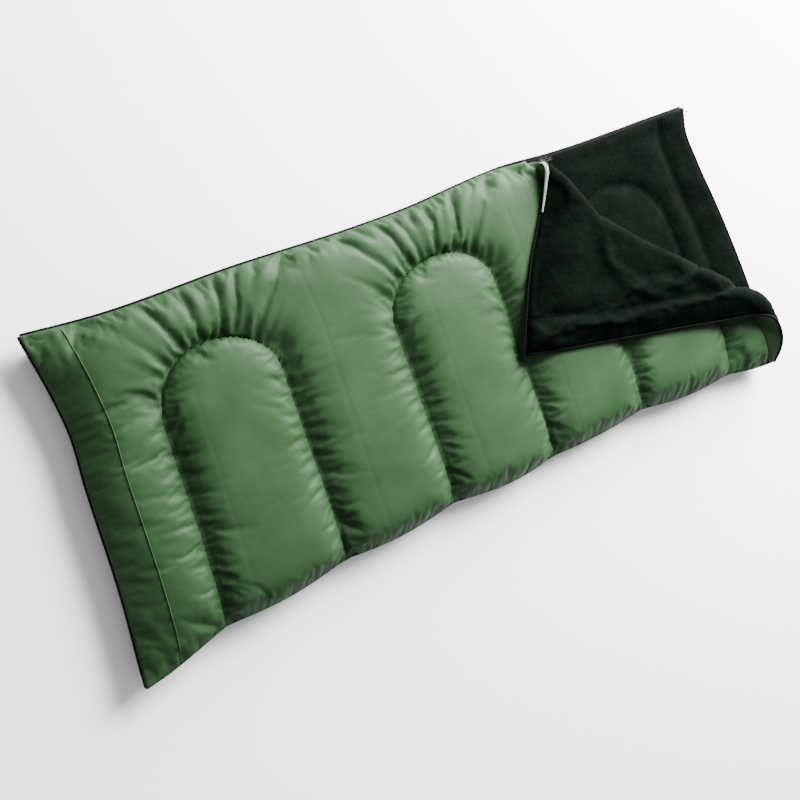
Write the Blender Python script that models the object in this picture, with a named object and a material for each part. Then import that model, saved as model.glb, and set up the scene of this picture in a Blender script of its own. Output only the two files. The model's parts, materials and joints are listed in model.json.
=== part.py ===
"""Rectangular sleeping bag, zipped along its far side and its foot.

Metres, +Z up. X runs along the bag, from the foot (-X) to the head (+X). The zip side is +Y and the
side where the fabric is folded round is -Y. The upper layer's head corner on the zip side is folded
back over the bag. The origin is the middle of the footprint, on the ground.
"""

import math

import bmesh
import bpy
from mathutils import Vector

# Size of the bag laid flat
LENGTH = 1.90
WIDTH = 0.75

# One quilted layer: shell, fill and lining, with a hair of room between them
LAYER = 0.045
SHEET = 0.003
ROOM = 0.0003

# The space for the sleeper between the layers, and the step between the upper layer and its folded corner
SLEEP_GAP = 0.010
CORNER_GAP = 0.005

HALF_LENGTH = LENGTH / 2
HALF_WIDTH = WIDTH / 2
UPPER_LOW = LAYER + SLEEP_GAP
UPPER_HIGH = UPPER_LOW + LAYER
FLAP_LOW = UPPER_HIGH + CORNER_GAP
FLAP_HIGH = FLAP_LOW + LAYER
MID_HEIGHT = LAYER + SLEEP_GAP / 2

# Plan of the layers' slabs inside the zip and the folded side, and the line that the side folds on
ZIP_REACH = 0.0075
FOOT_X = -HALF_LENGTH + 0.009
FAR_Y = HALF_WIDTH - 0.0175
NEAR_Y = -HALF_WIDTH + 0.047
SIDE_AXIS_Y = NEAR_Y - 0.007

# Seams: hem bands at the head and foot, and sewn arches over the quilting
BAND = 0.095
ARCH_PITCH = 0.305
ARCH_FIRST = -0.760
ARCH_CROWN = 0.245
ARCH_SPRING = 0.120
ARCH_START = -0.310
STITCH = 0.0006

# Folded corner: where the crease meets the zip, its direction, and the place of the folded corner
OPEN_POINT = Vector((0.440, 0.370))
CREASE_ANGLE = math.radians(-56)
FOLDED_CORNER = Vector((0.165, -0.055))
HEAD_EDGE_ANGLE = math.radians(-17.3)
CREASE_ROOM = 0.035
CREASE_REACH = 0.045
CREASE_START = 0.050
CREASE_END = 0.840
ROLL_HIGH = FLAP_HIGH + 0.020
AXIS_HEIGHT = UPPER_HIGH + CORNER_GAP / 2

# Zip
COIL_RADIUS = 0.0015
COIL_OFFSET = 0.0025
TAPE_HALF = 0.0006
TAPE_FOOT = 0.010
TAPE_SET_IN = 0.012
STOP_LENGTH = 0.006
SLIDER_HALF_LENGTH = 0.0145
SLIDER_HALF_HEIGHT = 0.008
SLIDER_ROOM = 0.0022
SLIDER_PLATE = 0.0018
SLIDER_WEB = 0.0006
KNUCKLE = 0.0013
PULL_OFFSET = 0.0024
PULL_HALF_THICK = 0.0007

COLOURS = {
    "shell": ((0.150, 0.205, 0.160, 1.0), 0.50, 0.0),
    "lining": ((0.012, 0.016, 0.014, 1.0), 0.85, 0.0),
    "fill": ((0.720, 0.720, 0.690, 1.0), 0.95, 0.0),
    "tape": ((0.012, 0.014, 0.013, 1.0), 0.80, 0.0),
    "coil": ((0.340, 0.390, 0.340, 1.0), 0.45, 0.0),
    "thread": ((0.050, 0.075, 0.058, 1.0), 0.70, 0.0),
    "slider": ((0.060, 0.065, 0.062, 1.0), 0.40, 0.8),
}

CREASE = Vector((math.cos(CREASE_ANGLE), math.sin(CREASE_ANGLE)))
CREASE_OUT = Vector((-CREASE.y, CREASE.x))


def clear_scene():
    for item in list(bpy.data.objects):
        bpy.data.objects.remove(item, do_unlink=True)


def material(name):
    made = bpy.data.materials.get(name)
    if made is None:
        colour, roughness, metallic = COLOURS[name]
        made = bpy.data.materials.new(name)
        made.use_nodes = True
        shader = made.node_tree.nodes["Principled BSDF"]
        shader.inputs["Base Color"].default_value = colour
        shader.inputs["Roughness"].default_value = roughness
        shader.inputs["Metallic"].default_value = metallic
    return made


def solid(name, rings, look):
    """One closed solid from two matching rings of points, the bottom or first ring first."""
    mesh = bmesh.new()
    lower, upper = [[mesh.verts.new(point) for point in ring] for ring in rings]
    mesh.faces.new(lower)
    mesh.faces.new(upper)
    count = len(lower)
    for index in range(count):
        after = (index + 1) % count
        mesh.faces.new((lower[index], lower[after], upper[after], upper[index]))
    bmesh.ops.recalc_face_normals(mesh, faces=mesh.faces)
    data = bpy.data.meshes.new(name)
    mesh.to_mesh(data)
    mesh.free()
    data.materials.append(material(look))
    piece = bpy.data.objects.new(name, data)
    bpy.context.collection.objects.link(piece)
    return piece


def prism(name, outline, low, high, look):
    """An upright prism over a plan outline."""
    rings = [[(x, y, height) for x, y in outline] for height in (low, high)]
    return solid(name, rings, look)


def strip(name, start, end, profile, look):
    """A profile carried from start to end in plan. It lists (distance to the left of the way, height)."""
    start, end = Vector(start), Vector(end)
    way = (end - start).normalized()
    left = Vector((-way.y, way.x))
    rings = []
    for at in (start, end):
        spots = [at + left * across for across, _ in profile]
        rings.append([(spot.x, spot.y, height) for spot, (_, height) in zip(spots, profile)])
    return solid(name, rings, look)


def circle(middle, height, radius, sides=8):
    turn = 2 * math.pi / sides
    return [
        (middle + radius * math.cos(turn * step), height + radius * math.sin(turn * step))
        for step in range(sides)
    ]


def thread(name, points, height):
    """A sewn line: a thin tube through plan points at one height."""
    curve = bpy.data.curves.new(name, "CURVE")
    curve.dimensions = "3D"
    curve.bevel_depth = STITCH
    curve.bevel_resolution = 1
    curve.use_fill_caps = True
    spline = curve.splines.new("POLY")
    spline.points.add(len(points) - 1)
    for spot, (x, y) in zip(spline.points, points):
        spot.co = (x, y, height, 1.0)
    curve.materials.append(material("thread"))
    piece = bpy.data.objects.new(name, curve)
    bpy.context.collection.objects.link(piece)
    return piece


def arch(first, turns=16):
    """One sewn arch: a leg from the near side, a crown like half an ellipse, and the leg back."""
    half = ARCH_PITCH / 2
    rise = ARCH_CROWN - ARCH_SPRING
    crown = []
    for step in range(turns + 1):
        angle = math.pi * (1 - step / turns)
        crown.append((first + half + half * math.cos(angle), ARCH_SPRING + rise * math.sin(angle)))
    return [(first, ARCH_START)] + crown + [(first + ARCH_PITCH, ARCH_START)]


def crease_point(along, out):
    """A plan point given along the crease from the open end of the zip, and out towards the head."""
    return OPEN_POINT + CREASE * along + CREASE_OUT * out


def crossing(point, way, out):
    """Where a plan line meets the line that runs beside the crease at this distance."""
    reach = (out - (point - OPEN_POINT).dot(CREASE_OUT)) / way.dot(CREASE_OUT)
    return point + way * reach


def layer_heights(low, shell_below):
    """Heights of the shell, the fill and the lining of one layer that starts at low."""
    first = (low, low + SHEET)
    middle = (low + SHEET + ROOM, low + LAYER - SHEET - ROOM)
    last = (low + LAYER - SHEET, low + LAYER)
    return (first, middle, last) if shell_below else (last, middle, first)


def under_layer():
    shell, fill, lining = layer_heights(0.0, True)

    def plan(left, right):
        return [(left, NEAR_Y), (right, NEAR_Y), (right, FAR_Y), (left, FAR_Y)]

    seam = HALF_LENGTH - BAND
    prism("under_shell", plan(FOOT_X, HALF_LENGTH), *shell, "shell")
    prism("under_fill", plan(FOOT_X, HALF_LENGTH), *fill, "fill")
    prism("under_lining", plan(FOOT_X, seam - ROOM), *lining, "lining")
    prism("under_head_band", plan(seam, HALF_LENGTH), *lining, "lining")
    height = LAYER + ROOM + STITCH
    for count in range(3):
        first = ARCH_FIRST + 2 * count * ARCH_PITCH
        thread(f"under_arch_stitch_{count + 1}", arch(first), height)


def upper_layer():
    """The upper layer up to the crease. Returns its pieces."""
    shell, fill, lining = layer_heights(UPPER_LOW, False)
    along_x = Vector((1.0, 0.0))
    far_corner = crossing(Vector((0.0, FAR_Y)), along_x, -CREASE_ROOM)
    near_corner = crossing(Vector((0.0, NEAR_Y)), along_x, -CREASE_ROOM)

    def plan(left):
        return [(left, NEAR_Y), tuple(near_corner), tuple(far_corner), (left, FAR_Y)]

    seam = FOOT_X + BAND
    band = [(FOOT_X, NEAR_Y), (seam, NEAR_Y), (seam, FAR_Y), (FOOT_X, FAR_Y)]
    pieces = [
        prism("upper_shell", plan(seam + ROOM), *shell, "shell"),
        prism("upper_foot_band", band, *shell, "shell"),
        prism("upper_fill", plan(FOOT_X), *fill, "fill"),
        prism("upper_lining", plan(FOOT_X), *lining, "lining"),
    ]
    height = UPPER_HIGH + ROOM + STITCH
    for count in range(2):
        first = ARCH_FIRST + 2 * count * ARCH_PITCH
        pieces.append(thread(f"upper_arch_stitch_{count + 1}", arch(first), height))
    leg = ARCH_FIRST + 4 * ARCH_PITCH
    points = [(leg, ARCH_START), (leg + 0.012, -0.236), (leg, -0.175)]
    pieces.append(thread("upper_arch_stitch_3", points, height))
    return pieces


def flap():
    """The head corner that lies folded back over the upper layer. Returns its pieces."""
    shell, fill, lining = layer_heights(FLAP_LOW, True)
    zip_way = (FOLDED_CORNER - OPEN_POINT).normalized()
    zip_in = Vector((-zip_way.y, zip_way.x))
    head_way = Vector((math.cos(HEAD_EDGE_ANGLE), math.sin(HEAD_EDGE_ANGLE)))
    head_in = Vector((-head_way.y, head_way.x))

    def inside(set_in):
        """The corner between the zip side and a line set in from the head edge."""
        start = OPEN_POINT + zip_in * ZIP_REACH
        base = FOLDED_CORNER + head_in * set_in
        reach = (base - start).dot(head_in) / zip_way.dot(head_in)
        return start + zip_way * reach

    def at_crease(set_in):
        return crossing(FOLDED_CORNER + head_in * set_in, head_way, -CREASE_ROOM)

    top = crossing(OPEN_POINT + zip_in * ZIP_REACH, zip_way, -CREASE_ROOM)
    whole = [tuple(spot) for spot in (top, inside(0.0), at_crease(0.0))]
    body = [tuple(spot) for spot in (top, inside(BAND + ROOM), at_crease(BAND + ROOM))]
    band = [tuple(spot) for spot in (inside(BAND), inside(0.0), at_crease(0.0), at_crease(BAND))]
    pieces = [
        prism("flap_shell", whole, *shell, "shell"),
        prism("flap_fill", whole, *fill, "fill"),
        prism("flap_lining", body, *lining, "lining"),
        prism("flap_head_band", band, *lining, "lining"),
    ]

    # Its half of the zip, seen upside down while the corner lies folded back
    first = OPEN_POINT + zip_way * CREASE_START
    coil_end = FOLDED_CORNER - zip_way * 2 * STOP_LENGTH
    stop_end = coil_end + zip_way * STOP_LENGTH
    level = 2 * AXIS_HEIGHT - MID_HEIGHT
    tape = tape_profile(level, -1, ZIP_REACH)
    coil = circle(0.0, level - COIL_OFFSET, COIL_RADIUS)
    pieces += [
        strip("flap_side_tape", first, coil_end, tape, "tape"),
        strip("flap_side_coil", first, coil_end, coil, "coil"),
        strip("flap_top_stop", coil_end + zip_way * ROOM, stop_end, stop_profile(level, -1), "slider"),
    ]
    return pieces


def tape_profile(level, side, reach):
    """A zip tape as an angle, left of its way: a foot on the layer's edge, and a wall up to the coil.

    level is where the two halves of the zip meet, and side is -1 for the half below it.
    """
    near = level + side * (COIL_OFFSET + COIL_RADIUS + ROOM)
    low = level + side * (SLEEP_GAP / 2 + LAYER - TAPE_SET_IN)
    high = low - side * TAPE_FOOT
    profile = [
        (-TAPE_HALF, near),
        (TAPE_HALF, near),
        (TAPE_HALF, high),
        (reach - ROOM, high),
        (reach - ROOM, low),
        (-TAPE_HALF, low),
    ]
    return profile


def stop_profile(level, side):
    half = COIL_RADIUS + ROOM
    near = level + side * 0.0006
    deep = level + side * (COIL_OFFSET + COIL_RADIUS + ROOM)
    return [(-half, near), (half, near), (half, deep), (-half, deep)]


def zip_halves():
    """The fixed zip along the far side and the foot. Returns the upper half's pieces."""
    far_plane = FAR_Y + ZIP_REACH
    foot_plane = FOOT_X - ZIP_REACH
    side_start = (FOOT_X, far_plane)
    foot_start = (foot_plane, FAR_Y)
    foot_end = (foot_plane, NEAR_Y + 2 * STOP_LENGTH)
    pin_end = (foot_plane, NEAR_Y + STOP_LENGTH / 2)
    ends = {"under": HALF_LENGTH - 0.0075, "upper": OPEN_POINT.x - 0.040}
    coil_ends = {"under": HALF_LENGTH - 0.0075, "upper": OPEN_POINT.x + 0.012}
    made = {"under": [], "upper": []}
    for half, side in (("under", -1), ("upper", 1)):
        tape = tape_profile(MID_HEIGHT, side, ZIP_REACH)
        side_tape = [(-across, height) for across, height in tape]
        coil = circle(0.0, MID_HEIGHT + side * COIL_OFFSET, COIL_RADIUS)
        side_end = (ends[half], far_plane)
        coil_end = (coil_ends[half], far_plane)
        made[half] += [
            strip(f"{half}_side_tape", side_start, side_end, side_tape, "tape"),
            strip(f"{half}_foot_tape", foot_start, foot_end, tape, "tape"),
            strip(f"{half}_side_coil", side_start, coil_end, coil, "coil"),
            strip(f"{half}_foot_coil", foot_start, foot_end, coil, "coil"),
        ]
    stop = stop_profile(MID_HEIGHT, -1)
    stop_start = (HALF_LENGTH - 0.0072, far_plane)
    stop_end = (HALF_LENGTH - 0.0072 + STOP_LENGTH, far_plane)
    strip("under_top_stop", stop_start, stop_end, stop, "slider")
    box_start = (foot_plane, NEAR_Y + 2 * STOP_LENGTH - ROOM)
    narrow = [(across * 0.8, height) for across, height in stop]
    strip("zip_box", box_start, pin_end, narrow, "slider")
    pin = [(across * 0.5, height) for across, height in stop_profile(MID_HEIGHT, 1)]
    made["upper"].append(strip("zip_pin", box_start, pin_end, pin, "slider"))
    return made["upper"]


def c_profile(inner, outer, low, high, wall):
    """A C open towards inner: its back is at outer, and its wall is this thick."""
    turn = wall if outer > inner else -wall
    profile = [
        (inner, low),
        (outer, low),
        (outer, high),
        (inner, high),
        (inner, high - wall),
        (outer - turn, high - wall),
        (outer - turn, low + wall),
        (inner, low + wall),
    ]
    return profile


def block_profile(inner, outer, low, high):
    return [(inner, low), (outer, low), (outer, high), (inner, high)]


def folds():
    """The fabric that turns round the near side, and the roll along the folded corner's crease."""
    near = (FOOT_X, 0.0)
    end = (HALF_LENGTH - 0.090, 0.0)
    inner = NEAR_Y - ROOM
    wrap = c_profile(inner, -HALF_WIDTH, ROOM, UPPER_HIGH - ROOM, SHEET)
    strip("side_fold_shell", near, end, wrap, "shell")
    low = ROOM + SHEET + ROOM
    core = block_profile(inner, -HALF_WIDTH + SHEET + ROOM, low, UPPER_HIGH - low)
    strip("side_fold_fill", near, end, core, "fill")

    start, end = crease_point(CREASE_START, 0.0), crease_point(CREASE_END, 0.0)
    inner = -CREASE_ROOM + ROOM
    lining = c_profile(inner, CREASE_REACH, UPPER_LOW, ROLL_HIGH, SHEET)
    inset = SHEET + ROOM
    outer = CREASE_REACH - inset
    fill = c_profile(inner, outer, UPPER_LOW + inset, ROLL_HIGH - inset, LAYER - 2 * inset)
    low, high = UPPER_HIGH - SHEET, FLAP_LOW + SHEET
    shell = block_profile(inner, 0.0, low, high)
    strip("crease_lining", start, end, lining, "lining")
    strip("crease_fill", start, end, fill, "fill")
    strip("crease_shell", start, end, shell, "shell")


def box(name, low, high, look):
    outline = [(low[0], low[1]), (high[0], low[1]), (high[0], high[1]), (low[0], high[1])]
    return prism(name, outline, low[2], high[2], look)


def join(piece, part):
    """Joins a part onto a piece with a union, and leaves the part as a hidden guide."""
    union = piece.modifiers.new(part.name, "BOOLEAN")
    union.operation = "UNION"
    union.solver = "EXACT"
    union.object = part
    part.hide_render = True
    part.display_type = "WIRE"
    return part


def slider():
    """The slider: two plates and a web between the coils, and two ears on each plate for its pull."""
    plane = FAR_Y + ZIP_REACH
    low, high = MID_HEIGHT - SLIDER_HALF_HEIGHT, MID_HEIGHT + SLIDER_HALF_HEIGHT
    web_low, web_high = MID_HEIGHT - SLIDER_WEB, MID_HEIGHT + SLIDER_WEB
    face = SLIDER_ROOM + SLIDER_PLATE
    profile = [
        (-face, low),
        (-SLIDER_ROOM, low),
        (-SLIDER_ROOM, web_low),
        (SLIDER_ROOM, web_low),
        (SLIDER_ROOM, low),
        (face, low),
        (face, high),
        (SLIDER_ROOM, high),
        (SLIDER_ROOM, web_high),
        (-SLIDER_ROOM, web_high),
        (-SLIDER_ROOM, high),
        (-face, high),
    ]
    start = (OPEN_POINT.x - SLIDER_HALF_LENGTH, plane)
    end = (OPEN_POINT.x + SLIDER_HALF_LENGTH, plane)
    body = strip("slider_body", start, end, profile, "slider")
    guides = []
    ear_reach = HALF_WIDTH - plane
    for side, word in ((1, "outer"), (-1, "inner")):
        for level, place in ((-0.0038, "low"), (0.0038, "high")):
            near = plane + side * (face - 0.0004)
            far = plane + side * ear_reach
            corner = (OPEN_POINT.x - 0.002, min(near, far), MID_HEIGHT + level - 0.0005)
            other = (OPEN_POINT.x + 0.002, max(near, far), MID_HEIGHT + level + 0.0005)
            ear = box(f"ear_{word}_{place}", corner, other, "slider")
            guides.append(join(body, ear))
    return body, guides


def pull(name, side, reach, half_width):
    """A pull tab: a knuckle between the ears and a tab towards the foot. Its knuckle is at the origin."""
    neck, knee, steps = 0.0027, 0.006, 6
    outline = [(KNUCKLE, -neck), (KNUCKLE, neck), (-knee, neck)]
    for step in range(steps + 1):
        angle = math.pi / 2 * (1 + 2 * step / steps)
        x = -(reach - half_width) + half_width * math.cos(angle)
        outline.append((x, half_width * math.sin(angle)))
    outline.append((-knee, -neck))
    rings = [[(x, depth, z) for x, z in outline] for depth in (-PULL_HALF_THICK, PULL_HALF_THICK)]
    piece = solid(name, rings, "slider")
    return piece


def hinge(name, at):
    empty = bpy.data.objects.new(name, None)
    empty.location = at
    empty.empty_display_size = 0.02
    bpy.context.collection.objects.link(empty)
    return empty


def hang(pieces, empty, at):
    """Parents world-placed pieces to an empty that stands at this world point, without moving them."""
    for piece in pieces:
        piece.parent = empty
        piece.location -= Vector(at)


def build():
    clear_scene()
    under_layer()
    folds()
    upper_pieces = upper_layer() + zip_halves()
    flap_pieces = flap()
    slider_body, guides = slider()

    side_axis = (0.0, SIDE_AXIS_Y, MID_HEIGHT)
    side_hinge = hinge("side_hinge", side_axis)
    hang(upper_pieces, side_hinge, side_axis)

    crease_axis = (OPEN_POINT.x, OPEN_POINT.y, AXIS_HEIGHT)
    crease_hinge = hinge("crease_hinge", crease_axis)
    hang(flap_pieces, crease_hinge, crease_axis)
    hang([crease_hinge], side_hinge, side_axis)

    plane = FAR_Y + ZIP_REACH
    slider_at = (OPEN_POINT.x, plane, MID_HEIGHT)
    slider_way = hinge("slider_way", slider_at)
    hang([slider_body] + guides, slider_way, slider_at)
    knuckle = SLIDER_ROOM + SLIDER_PLATE + PULL_OFFSET
    for name, side, reach, half_width in (
        ("outer_pull", 1, 0.028, 0.0045),
        ("inner_pull", -1, 0.021, 0.0027),
    ):
        piece = pull(name, side, reach, half_width)
        piece.parent = slider_way
        piece.location = (0.0, side * knuckle, 0.0)


build()
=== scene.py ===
"""Looks of the rectangular sleeping bag: quilted shell, brushed lining, folded corner and zip.

Metres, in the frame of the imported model. The bag lies along X, its zip side is +Y, its folded side is
-Y, and the head corner on the zip side is folded back over the upper layer.
"""

import json
import math

import bpy
import numpy as np
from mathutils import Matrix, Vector, noise


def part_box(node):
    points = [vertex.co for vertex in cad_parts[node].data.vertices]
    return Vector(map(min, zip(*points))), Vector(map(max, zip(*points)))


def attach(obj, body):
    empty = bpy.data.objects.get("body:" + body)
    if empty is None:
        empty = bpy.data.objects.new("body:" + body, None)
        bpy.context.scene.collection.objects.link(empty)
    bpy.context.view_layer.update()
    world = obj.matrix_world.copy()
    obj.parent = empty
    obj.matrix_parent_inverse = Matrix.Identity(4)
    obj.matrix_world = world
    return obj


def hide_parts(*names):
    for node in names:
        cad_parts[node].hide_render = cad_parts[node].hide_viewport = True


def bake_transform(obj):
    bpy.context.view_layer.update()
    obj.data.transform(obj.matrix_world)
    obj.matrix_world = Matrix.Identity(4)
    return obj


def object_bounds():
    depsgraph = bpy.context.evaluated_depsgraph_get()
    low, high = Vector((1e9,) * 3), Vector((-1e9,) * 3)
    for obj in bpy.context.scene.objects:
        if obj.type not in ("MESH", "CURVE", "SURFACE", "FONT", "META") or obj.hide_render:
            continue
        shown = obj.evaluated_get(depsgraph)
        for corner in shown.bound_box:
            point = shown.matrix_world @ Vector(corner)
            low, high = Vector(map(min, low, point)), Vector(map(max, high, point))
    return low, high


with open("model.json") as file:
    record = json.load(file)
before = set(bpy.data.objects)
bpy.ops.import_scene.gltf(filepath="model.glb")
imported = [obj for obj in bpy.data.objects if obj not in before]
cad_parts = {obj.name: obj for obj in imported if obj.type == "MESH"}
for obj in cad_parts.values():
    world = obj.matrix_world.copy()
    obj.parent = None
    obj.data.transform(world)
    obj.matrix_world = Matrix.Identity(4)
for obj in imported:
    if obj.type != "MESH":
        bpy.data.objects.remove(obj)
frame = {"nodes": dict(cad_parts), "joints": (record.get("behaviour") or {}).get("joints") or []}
CAD_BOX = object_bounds()

# Camera, fitted to the bag's corners
CAMERA_AT = (-1.465, 0.285, 2.506)
CAMERA_LOOKS_AT = (-0.158, -0.052, 0.0)
CAMERA_ROLL = math.radians(82.687)
LENS = 54.0
SENSOR = 36.0

FLOOR_REACH = 60
FLOOR_HEIGHT = -0.002

# Light: a weak white sky and one large lamp beyond the head, on the zip side
SKY_STRENGTH = 0.6
KEY_AT = (2.7, 1.9, 1.75)
KEY_LOOKS_AT = (0.1, 0.0, 0.0)
KEY_POWER = 1850
KEY_SIZE = 3.0

# Places that the frame gives
NODE_BOX = {name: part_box(name) for name in frame["nodes"]}
HALF_LENGTH = CAD_BOX[1][0]
HALF_WIDTH = CAD_BOX[1][1]
UNDER_TOP = NODE_BOX["under_lining"][1].z
UPPER_LOW = NODE_BOX["upper_lining"][0].z
UPPER_TOP = NODE_BOX["upper_shell"][1].z
MID_HEIGHT = (UNDER_TOP + UPPER_LOW) / 2
UPPER_MIDDLE = (UPPER_LOW + UPPER_TOP) / 2
FLAP_MIDDLE = (NODE_BOX["flap_shell"][0].z + NODE_BOX["flap_lining"][1].z) / 2


def joint(name):
    return next(each for each in frame["joints"] if each["name"] == name)


OPEN_POINT = Vector(joint("corner_flap_fold")["pos_m"])

# Outline of the lying bag: (place along the side, offset of that side from the straight rectangle)
NEAR_SIDE = [(-0.95, -0.004), (-0.76, 0.027), (-0.60, 0.037), (-0.46, 0.042), (-0.14, 0.048)]
NEAR_SIDE += [(0.16, 0.042), (0.30, 0.051), (0.46, 0.048), (0.78, 0.027), (0.95, 0.014)]
FAR_SIDE = [(-0.95, 0.004), (-0.80, -0.008), (-0.46, -0.006), (-0.14, -0.012), (0.02, -0.009)]
FAR_SIDE += [(0.16, 0.002), (0.31, 0.009), (0.42, 0.003), (0.52, 0.000), (0.80, 0.003), (0.95, 0.004)]
FOOT_SIDE = [(-0.375, -0.018), (-0.18, 0.006), (0.05, 0.022), (0.16, 0.032), (0.25, 0.026), (0.375, 0.008)]
HEAD_SIDE = [(-0.375, 0.012), (-0.15, 0.015), (0.08, -0.004), (0.23, -0.025), (0.31, -0.030)]
HEAD_SIDE += [(0.375, -0.012)]

# Quilting: sewn arches with this pitch, and bands at the head and the foot
ARCH_PITCH = 0.305
ARCH_FIRST = -0.752
ARCH_CROWN = 0.240
ARCH_SPRING = 0.105
SCALLOP = 0.014
FOOT_BAND = 0.083
HEAD_BAND = 0.095

# The fold of the corner on the flat rectangle, and where it lies: (way along it, x, y) and its radius
FOLD_START = np.array([0.44, 0.375])
FOLD_END = np.array([0.95, -0.30])
FOLD_LIES = [(-0.03, 0.357, 0.380), (0.0, 0.363, 0.356), (0.07, 0.400, 0.282), (0.144, 0.430, 0.214)]
FOLD_LIES += [(0.30, 0.536, 0.088)]
FOLD_LIES += [(0.498, 0.690, -0.040), (0.686, 0.834, -0.160), (0.768, 0.893, -0.215)]
FOLD_LIES += [(0.837, 0.922, -0.284), (0.892, 0.933, -0.358), (0.93, 0.940, -0.390)]
FOLD_RADIUS = [(-0.03, 0.021), (0.30, 0.027), (0.50, 0.031), (0.70, 0.036), (0.92, 0.042)]
FOLD_RISE = [(-0.03, 0.024), (0.30, 0.028), (0.50, 0.031), (0.70, 0.036), (0.92, 0.038)]
FOLDED_CORNER = np.array([0.150, -0.058])

# Fabric this close to the height of the crease's axis moves off it, so that no vertex turns only partly
SHELL_STEP = 0.0015
LINING_STEP = 0.004
FLAP_LOWEST = OPEN_POINT.z + 0.002

# Upper and lower rims of the layers, and the folded side's seams
UPPER_RIM = MID_HEIGHT + 0.005
UNDER_RIM = MID_HEIGHT - 0.005
SIDE_SEAMS = (MID_HEIGHT - 0.006, MID_HEIGHT + 0.006)
LAYER_GAP = 0.0005

# Grid steps, and how far each layer stands up between its sewn lines
UPPER_STEP = 0.0054
CORNER_STEP = 0.0075
UNDER_STEP = 0.0095
UPPER_PUFF = 0.038
GATHER_HEIGHT = 0.003
ROLL_THICK = 0.018
EDGE_THICK = 0.003
CORNER_PUFF = 0.017
UNDER_PUFF = 0.014

# Zip: where it starts and ends along each side, and its tape, teeth and cord
ZIP_START = -0.945
ZIP_END = 0.938
FOOT_ZIP = (-0.345, 0.368)
ZIP_HEIGHTS = (("under", 0.0475), ("upper", 0.0525))
TAPE_WIDTH = 0.013
TAPE_THICK = 0.0012
TOOTH_PITCH = 0.0032
TOOTH_LENGTH = 0.0058
TOOTH_RADIUS = 0.0011
CORD_RADIUS = 0.0012

# Stitches
STITCH_PITCH = 0.0042
STITCH_LENGTH = 0.0030
STITCH_RADIUS = 0.0005
STITCH_LIFT = 0.0012


def smooth_curve(points, at):
    """A smooth curve through given points (place, values), read at an array of places."""
    places = np.array([point[0] for point in points], float)
    values = np.array([point[1:] for point in points], float)
    slopes = np.gradient(values, places, axis=0)
    at = np.clip(np.asarray(at, float), places[0], places[-1])
    index = np.clip(np.searchsorted(places, at) - 1, 0, len(places) - 2)
    width = (places[index + 1] - places[index])[..., None]
    t = ((at - places[index])[..., None]) / width
    result = (
        (2 * t**3 - 3 * t**2 + 1) * values[index]
        + (t**3 - 2 * t**2 + t) * width * slopes[index]
        + (3 * t**2 - 2 * t**3) * values[index + 1]
        + (t**3 - t**2) * width * slopes[index + 1]
    )
    return result[..., 0] if result.shape[-1] == 1 else result


def step_up(value, low, high):
    t = np.clip((value - low) / (high - low), 0.0, 1.0)
    return t * t * (3 - 2 * t)


def lie(flat):
    """Where points of the flat rectangle lie in plan, on the bag with its drawn-in sides."""
    x, y = flat[:, 0], flat[:, 1]
    across = (y + HALF_WIDTH) / (2 * HALF_WIDTH)
    along = (x + HALF_LENGTH) / (2 * HALF_LENGTH)
    scallop = SCALLOP * (0.5 - np.abs(np.sin((x - ARCH_FIRST) * math.pi / ARCH_PITCH))) * (1 - across) ** 6
    near = smooth_curve(NEAR_SIDE, x) * (1 - across) + scallop
    far = smooth_curve(FAR_SIDE, x) * across
    foot = smooth_curve(FOOT_SIDE, y) * (1 - along) ** 4
    head = smooth_curve(HEAD_SIDE, y) * along**4
    return np.stack([x + foot + head, y + near + far], axis=1)


def arch(first, crown=ARCH_CROWN, spring=ARCH_SPRING):
    """One sewn arch in the flat rectangle: a leg, a crown like half an ellipse, and a leg."""
    half = ARCH_PITCH / 2
    angles = np.linspace(math.pi, 0.0, 25)
    xs = first + half + half * np.cos(angles)
    ys = spring + (crown - spring) * np.sin(angles)
    points = [(first, -HALF_WIDTH)] + list(zip(xs, ys)) + [(first + ARCH_PITCH, -HALF_WIDTH)]
    return np.array(points)


ARCHES = [arch(ARCH_FIRST + 2 * count * ARCH_PITCH) for count in range(3)]
FOOT_SEAM = np.array([(-HALF_LENGTH + FOOT_BAND, -HALF_WIDTH), (-HALF_LENGTH + FOOT_BAND, HALF_WIDTH)])
HEAD_SEAM = np.array([(HALF_LENGTH - HEAD_BAND, -HALF_WIDTH), (HALF_LENGTH - HEAD_BAND, HALF_WIDTH)])

# ---- the fold ----
FOLD_LENGTH = float(np.linalg.norm(FOLD_END - FOLD_START))
FOLD_WAY = (FOLD_END - FOLD_START) / FOLD_LENGTH
FOLD_SIDE = np.array([-FOLD_WAY[1], FOLD_WAY[0]])


def fold_place(flat):
    """Way along the fold, and distance beyond it, of points of the flat rectangle."""
    way = flat - FOLD_START
    return way @ FOLD_WAY, way @ FOLD_SIDE


def fold_reach(along):
    return smooth_curve(FOLD_RADIUS, along) * math.pi / 2


def before_fold(flat):
    """How far beyond the line where the roll begins. Negative on the flat part."""
    along, beyond = fold_place(flat)
    return beyond + fold_reach(along)


def fold_centre(along):
    centre = smooth_curve(FOLD_LIES, along)
    ahead = smooth_curve(FOLD_LIES, np.minimum(along + 0.01, FOLD_LIES[-1][0]))
    behind = smooth_curve(FOLD_LIES, np.maximum(along - 0.01, FOLD_LIES[0][0]))
    way = (ahead - behind) / np.linalg.norm(ahead - behind, axis=-1, keepdims=True)
    return centre, np.stack([-way[..., 1], way[..., 0]], axis=-1)


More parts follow.
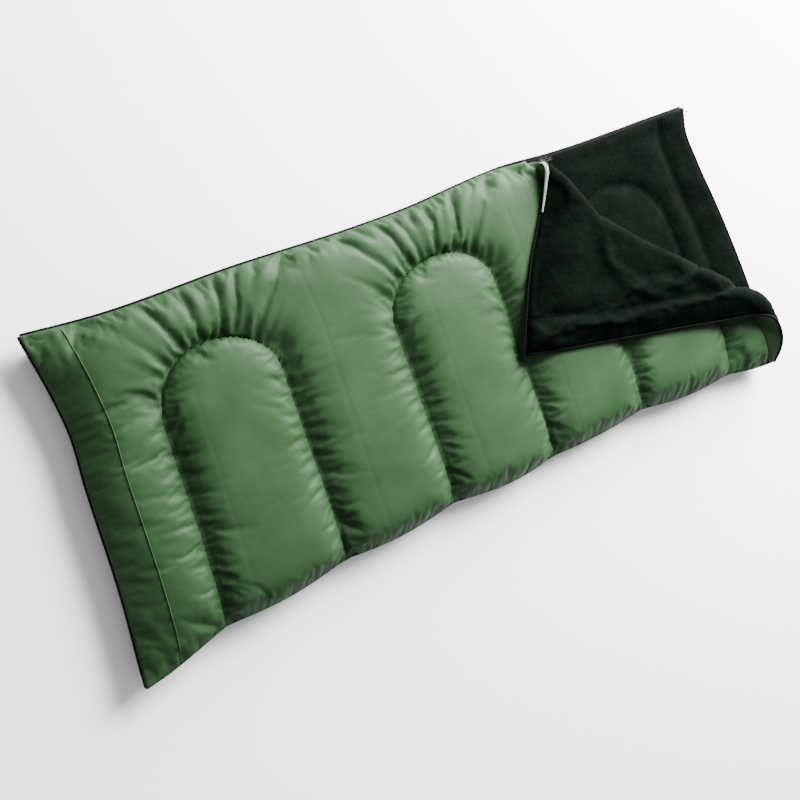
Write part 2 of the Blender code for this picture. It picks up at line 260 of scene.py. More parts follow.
def lie_upper(flat):
    """Plan of the upper layer's flat part, which runs into the roll."""
    plan = lie(flat)
    along, beyond = fold_place(flat)
    reach = fold_reach(along)
    along = np.clip(along, FOLD_LIES[0][0], FOLD_LIES[-1][0])
    centre, _ = fold_centre(along)
    start = FOLD_START + along[:, None] * FOLD_WAY - reach[:, None] * FOLD_SIDE
    drift = centre - lie(start)
    drift[:, 1] *= step_up(HALF_WIDTH - np.abs(flat[:, 1]), 0.0, 0.06)
    near = 1 - step_up(-(beyond + reach), 0.0, 0.20)
    return plan + drift * near[:, None]


def fold_line_height(flat):
    """Height of the middle of the upper layer where the roll begins. It comes down at the folded side."""
    low = MID_HEIGHT + 0.004
    return low + (UPPER_MIDDLE - low) * step_up(HALF_WIDTH + flat[:, 1], 0.0, 0.07)


def corner_flap(flat):
    """Middle surface of the roll and the flap, and its outward (lining-side) direction."""
    along, beyond = fold_place(flat)
    radius = smooth_curve(FOLD_RADIUS, along)
    rise = smooth_curve(FOLD_RISE, along)
    reach = radius * math.pi / 2
    centre, out = fold_centre(along)
    angle = np.clip(beyond / reach, -1, 1) * math.pi / 2
    plan = centre + out * (radius * np.cos(angle))[:, None]
    height = UPPER_MIDDLE + rise * (1 + np.sin(angle))
    height -= (UPPER_MIDDLE - fold_line_height(flat)) * (1 - np.sin(angle)) / 2
    corner = np.array([[HALF_LENGTH, HALF_WIDTH]])
    corner_along, corner_beyond = fold_place(corner)
    top, _ = fold_centre(corner_along)
    pull = (FOLDED_CORNER - top[0]) / (corner_beyond[0] - fold_reach(corner_along)[0])
    past = np.maximum(beyond - reach, 0.0)
    plan = plan + past[:, None] * pull
    settle = 1 - np.exp(-past / 0.10)
    height = height + (FLAP_MIDDLE - height) * settle * (past > 0)
    outward = np.column_stack([out * np.cos(angle)[:, None], np.sin(angle)])
    return np.column_stack([plan, height]), outward


def nearest(points, lines):
    """Distance to the nearest of the polylines, and the nearest point on it, for an array of points."""
    best = np.full(len(points), 1e9)
    where = np.zeros_like(points)
    for line in lines:
        for start, end in zip(line[:-1], line[1:]):
            way = end - start
            t = np.clip((points - start) @ way / max(way @ way, 1e-12), 0.0, 1.0)
            spot = start + t[:, None] * way
            distance = np.linalg.norm(points - spot, axis=1)
            closer = distance < best
            best[closer] = distance[closer]
            where[closer] = spot[closer]
    return best, where


def add_mesh(name, points, faces):
    mesh = bpy.data.meshes.new(name)
    mesh.from_pydata([tuple(point) for point in points], [], [tuple(face) for face in faces])
    mesh.update()
    piece = bpy.data.objects.new(name, mesh)
    bpy.context.collection.objects.link(piece)
    mesh.shade_smooth()
    return piece


class Sheet:
    """A grid over the flat rectangle with vertices moved onto its seams, cut where side(flat) > 0."""

    def __init__(self, step, seams, side=None):
        nx = int(round(2 * HALF_LENGTH / step)) + 1
        ny = int(round(2 * HALF_WIDTH / step)) + 1
        xs = np.linspace(-HALF_LENGTH, HALF_LENGTH, nx)
        ys = np.linspace(-HALF_WIDTH, HALF_WIDTH, ny)
        flat = np.stack(np.meshgrid(xs, ys, indexing="ij"), axis=-1).reshape(-1, 2)
        inner = (np.abs(flat[:, 0]) < HALF_LENGTH - 1e-6) & (np.abs(flat[:, 1]) < HALF_WIDTH - 1e-6)
        distance, where = nearest(flat + [0.031 * step, 0.017 * step], seams)
        sewn = distance < 0.5 * step
        flat[sewn & inner] = where[sewn & inner]
        i, j = np.meshgrid(np.arange(nx - 1), np.arange(ny - 1), indexing="ij")
        corner = (i * ny + j).ravel()
        faces = np.stack([corner, corner + ny, corner + ny + 1, corner + 1], axis=1)
        cut = np.zeros(len(flat), bool)
        if side is not None:
            beyond = side(flat)
            faces = faces[beyond[faces].mean(axis=1) < 0]
            used = np.unique(faces)
            renumber = np.full(len(flat), -1)
            renumber[used] = np.arange(len(used))
            faces = renumber[faces]
            flat = flat[used]
            sewn = sewn[used]
            cut = np.zeros(len(flat), bool)
            rim = self.boundary(faces, len(flat))
            close = rim[np.abs(side(flat[rim])) < 1.2 * step]
            cut[close] = True
            along, _ = fold_place(flat[close])
            order = np.argsort(along)
            for first, second in zip(order[:-1], order[1:]):
                along[second] = max(along[second], along[first] + 0.3 * step)
            on_fold = FOLD_START + along[:, None] * FOLD_WAY - fold_reach(along)[:, None] * FOLD_SIDE
            flat[close] = np.clip(on_fold, [-HALF_LENGTH, -HALF_WIDTH], [HALF_LENGTH, HALF_WIDTH])
        self.flat = flat
        self.faces = faces
        self.sewn = sewn
        self.cut = cut
        self.rim = self.boundary(faces, len(flat))
        self.on_rim = np.zeros(len(flat), bool)
        self.on_rim[self.rim] = True
        self.seam_distance, _ = nearest(flat, seams)

    @staticmethod
    def boundary(faces, count):
        """The outer loop of edges, as vertex numbers in order."""
        edges = np.concatenate([faces[:, [k, (k + 1) % 4]] for k in range(4)])
        key = edges.min(axis=1) * (count + 1) + edges.max(axis=1)
        _, first, times = np.unique(key, return_index=True, return_counts=True)
        after = {int(a): int(b) for a, b in edges[first[times == 1]]}
        start = next(iter(after))
        loop = [start]
        while after[loop[-1]] != start:
            loop.append(after[loop[-1]])
        return np.array(loop)

    def edge(self, near=True, far=True, foot=True, head=True):
        """Distance to the nearest of the rectangle's chosen sides."""
        x, y = self.flat[:, 0], self.flat[:, 1]
        far_away = np.full(len(x), 9.0)
        sides = [(near, HALF_WIDTH + y), (far, HALF_WIDTH - y)]
        sides += [(foot, HALF_LENGTH + x), (head, HALF_LENGTH - x)]
        return np.min([far_away] + [distance for wanted, distance in sides if wanted], axis=0)


def wander(flat, scale, seed):
    """Smooth random values from -1 to 1 over the flat rectangle."""
    return np.array([noise.noise(Vector((x * scale, y * scale, seed))) for x, y in flat])


def swell(name, points, faces, pinned, grow, pressure=4.0, frames=22, cap=0.03, soft=0.05):
    """Cloth simulation of a sheet held at its sewn lines and blown up from below, without gravity.

    grow is, for each vertex, how much longer the cloth is than the lines it is sewn to, which puckers it.
    """
    piece = add_mesh(name, points, faces)
    held = piece.vertex_groups.new(name="held")
    held.add([int(index) for index in np.flatnonzero(pinned)], 1.0, "REPLACE")
    loose = piece.vertex_groups.new(name="loose")
    least, most = float(grow.min()), float(grow.max())
    share = (most - grow) / max(most - least, 1e-6)
    levels = np.round(share * 20).astype(int)
    for level in np.unique(levels):
        loose.add([int(index) for index in np.flatnonzero(levels == level)], level / 20, "REPLACE")
    modifier = piece.modifiers.new("cloth", "CLOTH")
    cloth = modifier.settings
    cloth.quality = 6
    cloth.mass = 0.15
    cloth.air_damping = 2.0
    cloth.tension_stiffness = 12
    cloth.compression_stiffness = 12
    cloth.shear_stiffness = 4
    cloth.bending_stiffness = soft
    cloth.tension_damping = 3
    cloth.compression_damping = 3
    cloth.shear_damping = 3
    cloth.bending_damping = 0.5
    cloth.vertex_group_mass = "held"
    cloth.pin_stiffness = 50
    cloth.vertex_group_shrink = "loose"
    cloth.shrink_min = -most
    cloth.shrink_max = -least
    cloth.use_pressure = True
    cloth.uniform_pressure_force = pressure
    cloth.effector_weights.gravity = 0.0
    modifier.collision_settings.use_collision = False
    modifier.point_cache.frame_start = 1
    modifier.point_cache.frame_end = frames + 1
    before = np.zeros(len(piece.data.vertices) * 3)
    piece.data.vertices.foreach_get("co", before)
    for number in range(1, frames + 1):
        bpy.context.scene.frame_set(number)
    posed = piece.evaluated_get(bpy.context.evaluated_depsgraph_get())
    after = np.zeros(len(before))
    posed.data.vertices.foreach_get("co", after)
    bpy.data.objects.remove(piece)
    bpy.context.scene.frame_set(1)
    move = (after - before).reshape(-1, 3)
    length = np.linalg.norm(move, axis=1)
    move *= (np.minimum(length, cap) / np.maximum(length, 1e-9))[:, None]
    return before.reshape(-1, 3) + move


def soft_ceiling(height, start, top):
    """Presses heights above start down smoothly, so that they stay below top."""
    room = top - start
    over = np.maximum(height - start, 0.0)
    return np.minimum(height, start) + room * (1 - np.exp(-over / room))


def closed(name, sheet, top, bottom, look):
    """A closed piece between two surfaces over the same sheet, joined round its rim."""
    count = len(sheet.flat)
    points = np.concatenate([top, bottom])
    faces = [tuple(face) for face in sheet.faces]
    faces += [tuple(count + face[::-1]) for face in sheet.faces]
    after = np.roll(sheet.rim, -1)
    faces += [(int(b), int(a), int(a + count), int(b + count)) for a, b in zip(sheet.rim, after)]
    piece = add_mesh(name, points, faces)
    piece.data.materials.append(look)
    return piece


#
# ---- looks ----
#


def new_material(name):
    made = bpy.data.materials.new(name)
    made.use_nodes = True
    return made, made.node_tree.nodes, made.node_tree.links, made.node_tree.nodes["Principled BSDF"]


def shell_look():
    made, nodes, links, shader = new_material("shell taffeta")
    shader.inputs["Roughness"].default_value = 0.56
    shader.inputs["Specular IOR Level"].default_value = 0.08
    shader.inputs["Sheen Weight"].default_value = 0.015
    shader.inputs["Sheen Roughness"].default_value = 0.35
    shader.inputs["Sheen Tint"].default_value = (0.45, 0.8, 0.45, 1.0)
    where = nodes.new("ShaderNodeNewGeometry")
    patches = nodes.new("ShaderNodeTexNoise")
    patches.inputs["Scale"].default_value = 9.0
    patches.inputs["Detail"].default_value = 3.0
    links.new(where.outputs["Position"], patches.inputs["Vector"])
    ramp = nodes.new("ShaderNodeValToRGB")
    ramp.color_ramp.elements[0].position = 0.3
    ramp.color_ramp.elements[0].color = (0.0118, 0.0325, 0.0108, 1.0)
    ramp.color_ramp.elements[1].position = 0.75
    ramp.color_ramp.elements[1].color = (0.0200, 0.0465, 0.0195, 1.0)
    links.new(patches.outputs["Fac"], ramp.inputs["Fac"])
    links.new(ramp.outputs["Color"], shader.inputs["Base Color"])
    crumple = nodes.new("ShaderNodeTexNoise")
    crumple.inputs["Scale"].default_value = 55.0
    crumple.inputs["Detail"].default_value = 4.0
    crumple.inputs["Distortion"].default_value = 0.6
    links.new(where.outputs["Position"], crumple.inputs["Vector"])
    bump = nodes.new("ShaderNodeBump")
    bump.inputs["Strength"].default_value = 0.10
    bump.inputs["Distance"].default_value = 0.003
    links.new(crumple.outputs["Fac"], bump.inputs["Height"])
    links.new(bump.outputs["Normal"], shader.inputs["Normal"])
    return made


def lining_look():
    made, nodes, links, shader = new_material("brushed lining")
    shader.inputs["Roughness"].default_value = 0.85
    shader.inputs["Specular IOR Level"].default_value = 0.012
    shader.inputs["Sheen Weight"].default_value = 0.004
    shader.inputs["Sheen Roughness"].default_value = 0.4
    shader.inputs["Sheen Tint"].default_value = (0.4, 0.6, 0.5, 1.0)
    where = nodes.new("ShaderNodeNewGeometry")
    patches = nodes.new("ShaderNodeTexNoise")
    patches.inputs["Scale"].default_value = 14.0
    patches.inputs["Detail"].default_value = 5.0
    patches.inputs["Roughness"].default_value = 0.65
    links.new(where.outputs["Position"], patches.inputs["Vector"])
    ramp = nodes.new("ShaderNodeValToRGB")
    ramp.color_ramp.elements[0].position = 0.35
    ramp.color_ramp.elements[0].color = (0.0003, 0.0009, 0.0005, 1.0)
    ramp.color_ramp.elements[1].position = 0.72
    ramp.color_ramp.elements[1].color = (0.0014, 0.0034, 0.0022, 1.0)
    links.new(patches.outputs["Fac"], ramp.inputs["Fac"])
    links.new(ramp.outputs["Color"], shader.inputs["Base Color"])
    pile = nodes.new("ShaderNodeTexNoise")
    pile.inputs["Scale"].default_value = 90.0
    pile.inputs["Detail"].default_value = 5.0
    links.new(where.outputs["Position"], pile.inputs["Vector"])
    bump = nodes.new("ShaderNodeBump")
    bump.inputs["Strength"].default_value = 0.5
    bump.inputs["Distance"].default_value = 0.004
    links.new(pile.outputs["Fac"], bump.inputs["Height"])
    links.new(bump.outputs["Normal"], shader.inputs["Normal"])
    return made


def camera():
    data = bpy.data.cameras.new("camera")
    data.lens = LENS
    data.sensor_width = SENSOR
    data.dof.use_dof = False
    item = bpy.data.objects.new("camera", data)
    bpy.context.collection.objects.link(item)
    forward = (Vector(CAMERA_LOOKS_AT) - Vector(CAMERA_AT)).normalized()
    level = forward.cross(Vector((0, 0, 1))).normalized()
    upright = level.cross(forward)
    right = level * math.cos(CAMERA_ROLL) + upright * math.sin(CAMERA_ROLL)
    up = upright * math.cos(CAMERA_ROLL) - level * math.sin(CAMERA_ROLL)
    matrix = item.matrix_world.copy()
    for row in range(3):
        matrix[row][0], matrix[row][1], matrix[row][2] = right[row], up[row], -forward[row]
        matrix[row][3] = CAMERA_AT[row]
    item.matrix_world = matrix
    bpy.context.scene.camera = item


def floor():
    reach = FLOOR_REACH
    plan = [(-reach, -reach), (reach, -reach), (reach, reach), (-reach, reach)]
    corners = [(x, y, FLOOR_HEIGHT) for x, y in plan]
    piece = add_mesh("floor", corners, [(0, 1, 2, 3)])
    made, nodes, links, shader = new_material("pale floor")
    shader.inputs["Base Color"].default_value = (0.93, 0.93, 0.93, 1.0)
    shader.inputs["Roughness"].default_value = 0.9
    piece.data.materials.append(made)


def light(name, at, towards, power, size):
    data = bpy.data.lights.new(name, "AREA")
    data.energy = power
    data.size = size
    item = bpy.data.objects.new(name, data)
    item.location = at
    way = Vector(towards) - Vector(at)
    item.rotation_euler = way.to_track_quat("-Z", "Y").to_euler()
    bpy.context.collection.objects.link(item)


def lights():
    world = bpy.data.worlds.new("studio")
    world.use_nodes = True
    background = world.node_tree.nodes["Background"]
    background.inputs["Color"].default_value = (1.0, 1.0, 1.0, 1.0)
    background.inputs["Strength"].default_value = SKY_STRENGTH
    bpy.context.scene.world = world
    light("key", KEY_AT, KEY_LOOKS_AT, KEY_POWER, KEY_SIZE)


def plain_look(name, colour, roughness):
    """A material of one colour that varies a little from place to place."""
    made, nodes, links, shader = new_material(name)
    shader.inputs["Roughness"].default_value = roughness
    shader.inputs["Specular IOR Level"].default_value = 0.06
    where = nodes.new("ShaderNodeNewGeometry")
    patches = nodes.new("ShaderNodeTexNoise")
    patches.inputs["Scale"].default_value = 60.0
    links.new(where.outputs["Position"], patches.inputs["Vector"])
    ramp = nodes.new("ShaderNodeValToRGB")
    ramp.color_ramp.elements[0].color = (*[0.7 * part for part in colour], 1.0)
    ramp.color_ramp.elements[1].color = (*[1.2 * part for part in colour], 1.0)
    links.new(patches.outputs["Fac"], ramp.inputs["Fac"])
    links.new(ramp.outputs["Color"], shader.inputs["Base Color"])
    return made


TAPE = plain_look("zip tape", (0.0018, 0.0028, 0.0018), 0.95)
# Pale grey-green: painted highlight where the opened zip's dark tape turns up into the light
PAINTED_HIGHLIGHT_TAPE = plain_look("zip tape painted highlight", (0.16, 0.19, 0.15), 0.8)
COIL = plain_look("zip teeth", (0.0035, 0.0045, 0.0035), 0.6)
BINDING = plain_look("edge binding", (0.0015, 0.0022, 0.0015), 0.9)
THREAD = plain_look("quilting thread", (0.022, 0.050, 0.018), 0.7)
DARK_THREAD = plain_look("lining thread", (0.004, 0.009, 0.006), 0.8)
# Lighter green than the shell: painted highlight along the ridge of the foot seam
FOOT_SEAM_HIGHLIGHT = plain_look("foot seam painted highlight", (0.032, 0.068, 0.026), 0.6)
ENAMEL = plain_look("black enamel of the slider", (0.006, 0.007, 0.006), 0.5)
SHELL = shell_look()
LINING = lining_look()

#
# ---- quilts ----
#


def gathers(sheet):
    """Height of the folds that run from the arches' crowns to the zip side, and along the legs."""
    x, y = sheet.flat[:, 0], sheet.flat[:, 1]
    total = np.zeros(len(x))
    for index in range(3):
        centre = ARCH_FIRST + 2 * index * ARCH_PITCH + ARCH_PITCH / 2
        angle = np.arctan2(x - centre, y - ARCH_SPRING + 0.02)
        above = step_up(y, ARCH_SPRING, ARCH_SPRING + 0.08) * step_up(1.2 - np.abs(angle), 0.0, 0.5)
        across = (x - centre) / (ARCH_PITCH / 2)
        outside = np.hypot(across, (y - ARCH_SPRING) / (ARCH_CROWN - ARCH_SPRING)) > 1
        total += above * outside * (np.sin(angle * 23 + 2 * index) + 0.6 * np.sin(angle * 41 + index))
    return total


def upper_shoulder(flat):
    """How the upper layer rounds down to its edges: 0 at an edge, 1 on the flat of the bag."""
    x, y = flat[:, 0], flat[:, 1]
    near = np.clip((HALF_WIDTH + y) / 0.100, 0, 1)
    far = np.clip((HALF_WIDTH - y) / 0.070, 0, 1)
    foot = np.clip((HALF_LENGTH + x) / 0.210, 0, 1)
    return (1 - (1 - near) ** 2) * (1 - (1 - far) ** 2) * (1 - (1 - foot) ** 2)


# Faint straight creases left in the shell by folding: (x, how far they run to the zip side)
CREASES = [(-0.675, 0.20), (-0.335, 0.34), (-0.045, 0.20), (0.245, 0.32)]


def fabric_creases(flat):
    """Depth of those creases."""
    depth = np.zeros(len(flat))
    for x, end in CREASES:
        bend = x + 0.004 * np.sin(flat[:, 1] * 9.0)
        inside = step_up(end - flat[:, 1], 0.0, 0.08)
        depth += 0.0005 * np.exp(-(((flat[:, 0] - bend) / 0.0035) ** 2)) * inside
    return depth


def thread_on(name, line, sheet, surface, outward=None, look=None, solid=False):
    """Stitches along a seam, laid on the surface's own points of that seam."""
    distance, _ = nearest(sheet.flat, [line])
    own = np.flatnonzero(distance < 1e-6)
    run = np.concatenate([[0], np.cumsum(np.linalg.norm(np.diff(line, axis=0), axis=1))])
    places = []
    for spot in sheet.flat[own]:
        best = (9.0, 0.0)
        for k in range(len(line) - 1):
            way = line[k + 1] - line[k]
            t = min(max(float((spot - line[k]) @ way / (way @ way)), 0.0), 1.0)
            gap = float(np.linalg.norm(spot - line[k] - t * way))
            best = min(best, (gap, run[k] + t * (run[k + 1] - run[k])))
        places.append(best[1])
    order = own[np.argsort(places)]
    lift = STITCH_LIFT * (np.array([0, 0, 1.0]) if outward is None else outward[order])
    path = surface[order] + lift
    keep = np.concatenate([[True], np.linalg.norm(np.diff(path, axis=0), axis=1) > 0.001])
    if solid:
        # The solid seam line is a real seam, drawn lighter than the shell as a painted highlight
        return sweep(name, path[keep], round_section(0.0010, 6), FOOT_SEAM_HIGHLIGHT)
    size = (STITCH_PITCH, STITCH_LENGTH, STITCH_RADIUS)
    return rods(name, path[keep], *size, look or THREAD, "thread")


def stitch_upper(sheet, top):
    for index, line in enumerate(ARCHES):
        thread = thread_on(f"upper_arch_thread_{index + 1}", line, sheet, top)
        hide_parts(f"upper_arch_stitch_{index + 1}")
        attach(thread, "upper_layer")
    thread = thread_on("upper_foot_thread", FOOT_SEAM, sheet, top, solid=True)
    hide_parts("upper_foot_band")
    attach(thread, "upper_layer")


def upper_quilt():
    step = UPPER_STEP
    sheet = Sheet(step, ARCHES + [FOOT_SEAM], side=before_fold)
    plan = lie_upper(sheet.flat)
    edge = sheet.edge(head=False)
    seam, _ = nearest(sheet.flat, ARCHES)
    sewn = seam < 1e-6
    away = np.minimum(seam, edge)
    shoulder = upper_shoulder(sheet.flat)
    height = UPPER_RIM + UPPER_PUFF * shoulder * (0.34 + 0.66 * (1 - np.exp(-seam / 0.026)))
    height += GATHER_HEIGHT * gathers(sheet) * step_up(away, 0.0, 0.03)
    fold = -before_fold(sheet.flat)
    at_fold = fold_line_height(sheet.flat) + ROLL_THICK * step_up(edge, 0.0, 0.03)
    height = height + (at_fold - height) * (1 - step_up(fold, 0.0, 0.05))
    height[edge < 1e-6] = UPPER_RIM
    top = np.column_stack([plan, height])
    grow = 0.035 + 0.065 * (1 - step_up(away, 0.0, 0.06))
    grow *= 0.35 + 0.65 * step_up(HALF_LENGTH + sheet.flat[:, 0], 0.03, 0.18)
    top = swell("upper_swell", top, sheet.faces, sewn | sheet.on_rim, grow, pressure=2.6)
    top[:, 2] = soft_ceiling(top[:, 2], 0.088, UPPER_TOP + 0.003)
    top[:, 2] -= fabric_creases(sheet.flat) * step_up(away, 0.01, 0.04)
    inside = np.minimum(UPPER_RIM - 0.002 + 0.010 * step_up(edge, 0, 0.04), height - 0.002)
    middle = np.column_stack([plan, inside])
    shell = closed("upper_quilt_shell", sheet, top, middle, SHELL)
    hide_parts("upper_shell", "upper_fill")
    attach(shell, "upper_layer")
    stitch_upper(sheet, top)
    low = middle.copy()
    low[:, 2] -= 0.001 + 0.004 * step_up(away, 0.0, 0.03)
    middle = middle - [0, 0, LAYER_GAP]
    lining = closed("upper_quilt_lining", sheet, middle, low, LINING)
    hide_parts("upper_lining")
    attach(lining, "upper_layer")


def corner():
    seams = [ARCHES[2], HEAD_SEAM]
    sheet = Sheet(CORNER_STEP, seams, side=lambda flat: -before_fold(flat))
    middle, outward = corner_flap(sheet.flat)
    edge = sheet.edge(near=False, foot=False)
    start = before_fold(sheet.flat)
    away = np.minimum(sheet.seam_distance, edge)
    sewn_across = np.minimum(nearest(sheet.flat, [HEAD_SEAM])[0], edge)
    arch_groove = 0.5 + 0.5 * (1 - np.exp(-nearest(sheet.flat, [ARCHES[2]])[0] / 0.03))
    thick = EDGE_THICK + CORNER_PUFF * (1 - np.exp(-sewn_across / 0.022)) * arch_groove
    at_fold = ROLL_THICK * step_up(sheet.edge(foot=False, head=False), 0.0, 0.03)
    thick = thick + (at_fold - thick) * (1 - step_up(start, 0.0, 0.02))
    middle[:, 2] -= flap_sag(edge, start)
    outer = middle + outward * thick[:, None]
    pinned = sheet.sewn | sheet.on_rim
    grow = 0.012 + 0.02 * (1 - step_up(away, 0.0, 0.05))
    outer = swell("corner_swell", outer, sheet.faces, pinned, grow, pressure=2.0, cap=0.008, soft=1.0)
    inner = middle - outward * thick[:, None]
    on_flap = outward[:, 2] > 0.9
    for surface in (middle, inner, outer):
        surface[on_flap, 2] = np.maximum(surface[on_flap, 2], FLAP_LOWEST)
    thread = thread_on("corner_head_thread", HEAD_SEAM, sheet, outer, outward, DARK_THREAD)
    bend_with_corner(thread)
    lining = closed("corner_lining", sheet, outer, middle + outward * LAYER_GAP, LINING)
    shell = closed("corner_shell", sheet, middle, inner, SHELL)
    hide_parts("flap_lining", "flap_head_band", "crease_lining")
    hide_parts("flap_shell", "flap_fill", "crease_shell", "crease_fill")
    bend_with_corner(lining, LINING_STEP)
    bend_with_corner(shell, SHELL_STEP)


def under_quilt():
    sheet = Sheet(UNDER_STEP, ARCHES + [HEAD_SEAM])
    plan = lie(sheet.flat)
    edge = sheet.edge()
    away = np.minimum(sheet.seam_distance, edge)
    height = UNDER_RIM - 0.010 * step_up(edge, 0.0, 0.05) + UNDER_PUFF * (1 - np.exp(-away / 0.025))
    height += 0.0015 * wander(sheet.flat, 14.0, 3.0)
    height[sheet.on_rim] = UNDER_RIM
    top = np.column_stack([plan, height])
    middle = np.column_stack([plan, np.full(len(plan), 0.034)])
    middle[sheet.on_rim, 2] = UNDER_RIM - 0.003
    low = np.column_stack([plan, 0.004 * np.exp(-away / 0.02)])
    low[:, 2] += 0.030 * (1 - step_up(edge, 0.0, 0.035))
    lining = closed("under_quilt_lining", sheet, top, middle, LINING)
    shell = closed("under_quilt_shell", sheet, middle - [0, 0, LAYER_GAP], low, SHELL)
    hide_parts("under_lining", "under_head_band")
    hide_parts("under_shell", "under_fill")
    for index, line in enumerate(ARCHES):
        thread = thread_on(f"under_arch_thread_{index + 1}", line, sheet, top, None, DARK_THREAD)
        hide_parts(f"under_arch_stitch_{index + 1}")
        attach(thread, "under_layer")
    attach(thread_on("under_head_thread", HEAD_SEAM, sheet, top, None, DARK_THREAD), "under_layer")
    for piece in (lining, shell):
        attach(piece, "under_layer")


#
# ---- edges, zip and thread ----
#


def frames(path, upward):
    """Direction, side and up for every point of a path."""
    way = np.gradient(path, axis=0)
    way /= np.linalg.norm(way, axis=1, keepdims=True)
    side = np.cross(way, upward)
    side /= np.linalg.norm(side, axis=1, keepdims=True)
    return way, side, np.cross(side, way)


def even(path, pitch):
    """The path's points, set at even distances close to pitch."""
    run = np.concatenate([[0], np.cumsum(np.linalg.norm(np.diff(path, axis=0), axis=1))])
    places = np.linspace(0, run[-1], max(3, int(round(run[-1] / pitch)) + 1))
    return np.column_stack([np.interp(places, run, path[:, axis]) for axis in range(3)])


def sweep(name, path, section, look, upward=(0, 0, 1)):
    """A closed bar along a path, with a cross-section of (side, up) points."""
    _, side, up = frames(path, upward)
    section = np.array(section)
    rings = path[:, None] + side[:, None] * section[:, 0, None] + up[:, None] * section[:, 1, None]
    count, sides = rings.shape[:2]
    faces = []
    for ring in range(count - 1):
        for k in range(sides):
            a, b = ring * sides + k, ring * sides + (k + 1) % sides
            faces.append((a, b, b + sides, a + sides))
    faces.append(tuple(range(sides))[::-1])
    faces.append(tuple(range((count - 1) * sides, count * sides)))
    piece = add_mesh(name, rings.reshape(-1, 3), faces)
    piece.data.materials.append(look)
    return piece


def round_section(radius, sides=8):
    angles = [2 * math.pi * k / sides for k in range(sides)]
    return [(radius * math.cos(angle), radius * math.sin(angle)) for angle in angles]


def flat_section(low, high, thickness):
    half = thickness / 2
    return [(low, -half), (high, -half), (high, half), (low, half)]


def rods(name, path, pitch, length, radius, look, slot, upward=(0, 0, 1), across=False, sides=6):
    """Short rounded rods along a path: stitches, or the teeth of a zip when they lie across it."""
    path = even(path, pitch)
    way, side, up = frames(path, upward)
    if across:
        way, side = side, -way
    points, faces = [], []
    for spot, ahead, aside, above in zip(path, way, side, up):
        first = len(points)
        for share, size in ((-0.5, 0.35), (-0.36, 0.85), (0.0, 1.0), (0.36, 0.85), (0.5, 0.35)):
            for k in range(sides):
                angle = 2 * math.pi * k / sides
                ring = aside * math.cos(angle) + above * math.sin(angle)
                points.append(spot + ahead * length * share + ring * radius * size)
        for ring in range(4):
            for k in range(sides):
                a, b = first + ring * sides + k, first + ring * sides + (k + 1) % sides
                faces.append((a, b, b + sides, a + sides))
        faces.append(tuple(range(first, first + sides))[::-1])
        faces.append(tuple(range(first + 4 * sides, first + 5 * sides)))
    piece = add_mesh(name, points, faces)
    piece.data.materials.append(look)
    return piece


def edge_path(side, low, high, height, outward):
    """Path along one side of the bag's outline, from low to high, a little way outside it."""
    along = np.linspace(low, high, 60)
    if side in ("near", "far"):
        limit = HALF_WIDTH if side == "far" else -HALF_WIDTH
        flat = np.column_stack([along, np.full(60, limit)])
    else:
        limit = HALF_LENGTH if side == "head" else -HALF_LENGTH
        flat = np.column_stack([np.full(60, limit), along])
    plan = lie(flat)
    way = np.gradient(plan, axis=0)
    way /= np.linalg.norm(way, axis=1, keepdims=True)
    turn = 1 if side in ("near", "head") else -1
    plan = plan + turn * outward * np.column_stack([way[:, 1], -way[:, 0]])
    return np.column_stack([plan, np.full(60, height)])


def zip_half(name, path, look_side, body, nodes):
    """Tape and teeth of one half of the zip along a path. look_side is the side that the tape is on."""
    section = flat_section(*sorted((0.0, look_side * TAPE_WIDTH)), TAPE_THICK)
    tape = sweep(name + "_tape", path, section, TAPE)
    size = (TOOTH_PITCH, TOOTH_LENGTH, TOOTH_RADIUS)
    teeth = rods(name + "_teeth", path, *size, COIL, "coil", across=True)
    cord = sweep(name + "_cord", path, round_section(CORD_RADIUS, 6), TAPE)
    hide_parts(*[node for node in nodes if node.endswith("tape")])
    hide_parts(*[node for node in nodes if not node.endswith("tape")])
    for piece in (tape, teeth, cord):
        if body == "corner_flap":
            bend_with_corner(piece)
        else:
            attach(piece, body)


def main_zip():
    """The L-shaped zip: closed along the zip side as far as the slider, and along the foot."""
    for layer, height in ZIP_HEIGHTS:
        body = layer + "_layer"
        end = ZIP_END if layer == "under" else OPEN_POINT.x
        path = edge_path("far", ZIP_START, end, height, 0.0025)
        nodes = [layer + "_side_tape", layer + "_side_coil"]
        zip_half(layer + "_side_zip", path, 1, body, nodes)
        path = edge_path("foot", *FOOT_ZIP, height, 0.0015)
        nodes = [layer + "_foot_tape", layer + "_foot_coil"]
        zip_half(layer + "_foot_zip", path, 1, body, nodes)


def corner_edge(side, low, high, outward):
    """Path just outside one edge of the folded corner."""
    along = np.linspace(low, high, 60)
    if side == "far":
        flat = np.column_stack([along, np.full(60, HALF_WIDTH)])
        inside = flat - [0, 0.004]
    else:
        flat = np.column_stack([np.full(60, HALF_LENGTH), along])
        inside = flat - [0.004, 0]
    on_edge = corner_middle(flat)
    way = on_edge - corner_middle(inside)
    way /= np.linalg.norm(way, axis=1, keepdims=True)
    return on_edge + way * outward


def corner_middle(flat):
    middle, _ = corner_flap(flat)
    edge = np.minimum(HALF_WIDTH - flat[:, 1], HALF_LENGTH - flat[:, 0])
    middle[:, 2] -= flap_sag(edge, before_fold(flat))
    return middle


def flap_sag(edge, start):
    """How far the flap's edges hang below its middle surface."""
    return 0.020 * (1 - np.clip(edge / 0.105, 0, 1)) ** 1.7 * step_up(start, 0.03, 0.14)


def bend_with_corner(piece, gap=SHELL_STEP):
    """Moves vertices closer than gap to the height of the crease's axis off it, up or down, and bakes the
    piece's transform into its mesh.
    """
    for vertex in piece.data.vertices:
        above = vertex.co.z - OPEN_POINT.z
        if abs(above) < gap:
            vertex.co.z = OPEN_POINT.z + math.copysign(gap, above)
    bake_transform(piece)


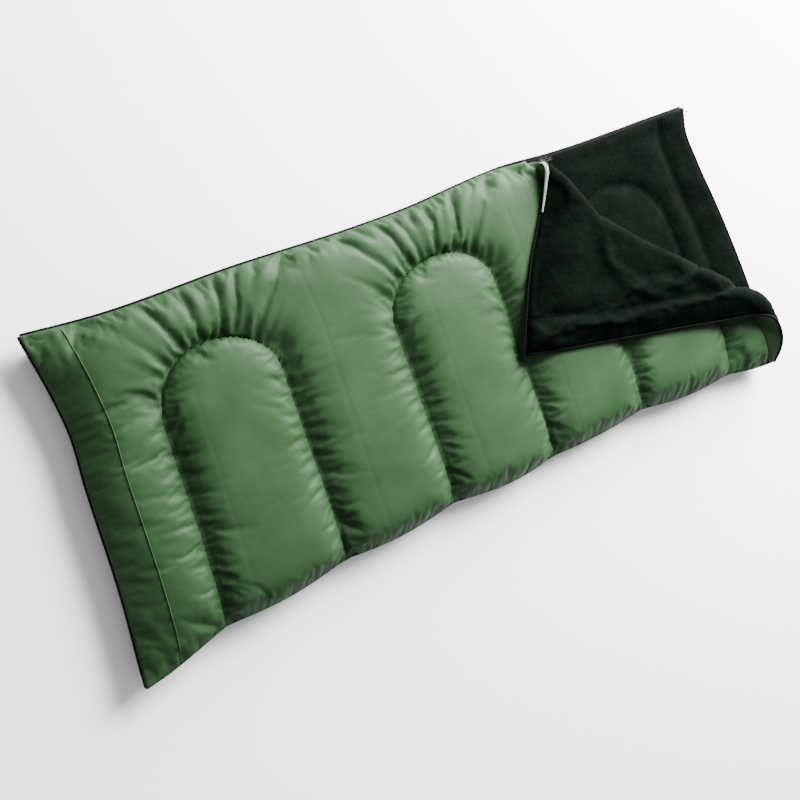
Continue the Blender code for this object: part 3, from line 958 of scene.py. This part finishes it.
def corner_zip():
    path = corner_edge("far", OPEN_POINT.x - 0.005, 0.945, 0.003)
    nodes = ["flap_side_tape", "flap_side_coil", "flap_top_stop"]
    zip_half("corner_zip", path, -1, "corner_flap", nodes)


def bindings():
    """Dark rim on the head edges of the lower layer and of the folded corner."""
    path = edge_path("head", -0.372, 0.372, MID_HEIGHT - 0.006, 0.001)
    rim = sweep("under_head_rim", path, round_section(0.0035), BINDING)
    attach(rim, "under_layer")
    path = corner_edge("head", fold_meets_head(), 0.372, 0.001)
    rim = sweep("corner_head_rim", path, round_section(0.0042), BINDING)
    bend_with_corner(rim)


def band(name, rows, look):
    """A closed bar through rows of points that run side by side round it."""
    count, length = len(rows), len(rows[0])
    faces = []
    for k in range(count):
        for i in range(length - 1):
            a, b = k * length + i, ((k + 1) % count) * length + i
            faces.append((a, a + 1, b + 1, b))
    faces.append(tuple(k * length for k in range(count))[::-1])
    faces.append(tuple(k * length + length - 1 for k in range(count)))
    piece = add_mesh(name, np.concatenate(rows), faces)
    piece.data.materials.append(look)
    return piece


def pale_tape():
    """A pale strip on the tape where the zip opens, narrowing along the flap: a painted highlight where
    the dark tape turns up into the light.
    """
    path = corner_edge("far", OPEN_POINT.x - 0.004, OPEN_POINT.x + 0.13, 0.0)
    path[:, 2] += 0.004
    _, side, up = frames(path, (0, 0, 1))
    inner = -side * 0.002
    outer = side * np.linspace(0.011, 0.002, len(path))[:, None]
    thick = up * TAPE_THICK
    rows = [path + inner, path + outer, path + outer + thick, path + inner + thick]
    tape = band("corner_zip_painted_highlight", rows, PAINTED_HIGHLIGHT_TAPE)
    bend_with_corner(tape)


def fold_meets_head():
    """How far across the head edge the roll begins."""
    across = np.linspace(-HALF_WIDTH, HALF_WIDTH, 400)
    flat = np.column_stack([np.full(400, HALF_LENGTH), across])
    return float(across[np.argmin(np.abs(before_fold(flat)))])


def side_rows(inward, thick):
    """Rows of points round a strip of cloth that bulges between the folded side's two seams."""
    low, high = SIDE_SEAMS
    rows = []
    for share in np.linspace(0, 1, 7):
        bulge = 0.0015 * math.sin(math.pi * share)
        height = low + (high - low) * share
        rows.append(edge_path("near", ZIP_START, -ZIP_START, height, bulge) + [0, inward, 0])
    return rows + [row + [0, thick, 0] for row in rows[::-1]]


def side_strips():
    """The shell and the lining round the folded side, from the lower layer's seam to the upper one's."""
    shell = band("side_fold_cloth", side_rows(0.0, 0.0015), SHELL)
    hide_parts("side_fold_shell", "side_fold_fill")
    lining = band("side_fold_lining", side_rows(0.002, 0.0015), LINING)
    for strip in (shell, lining):
        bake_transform(strip)


def hard_parts():
    for name in ("slider_body", "outer_pull", "inner_pull", "under_top_stop", "zip_box", "zip_pin"):
        for place in frame["nodes"][name].material_slots:
            place.material = ENAMEL


camera()
floor()
lights()
upper_quilt()
corner()
under_quilt()
side_strips()
main_zip()
corner_zip()
pale_tape()
bindings()
hard_parts()
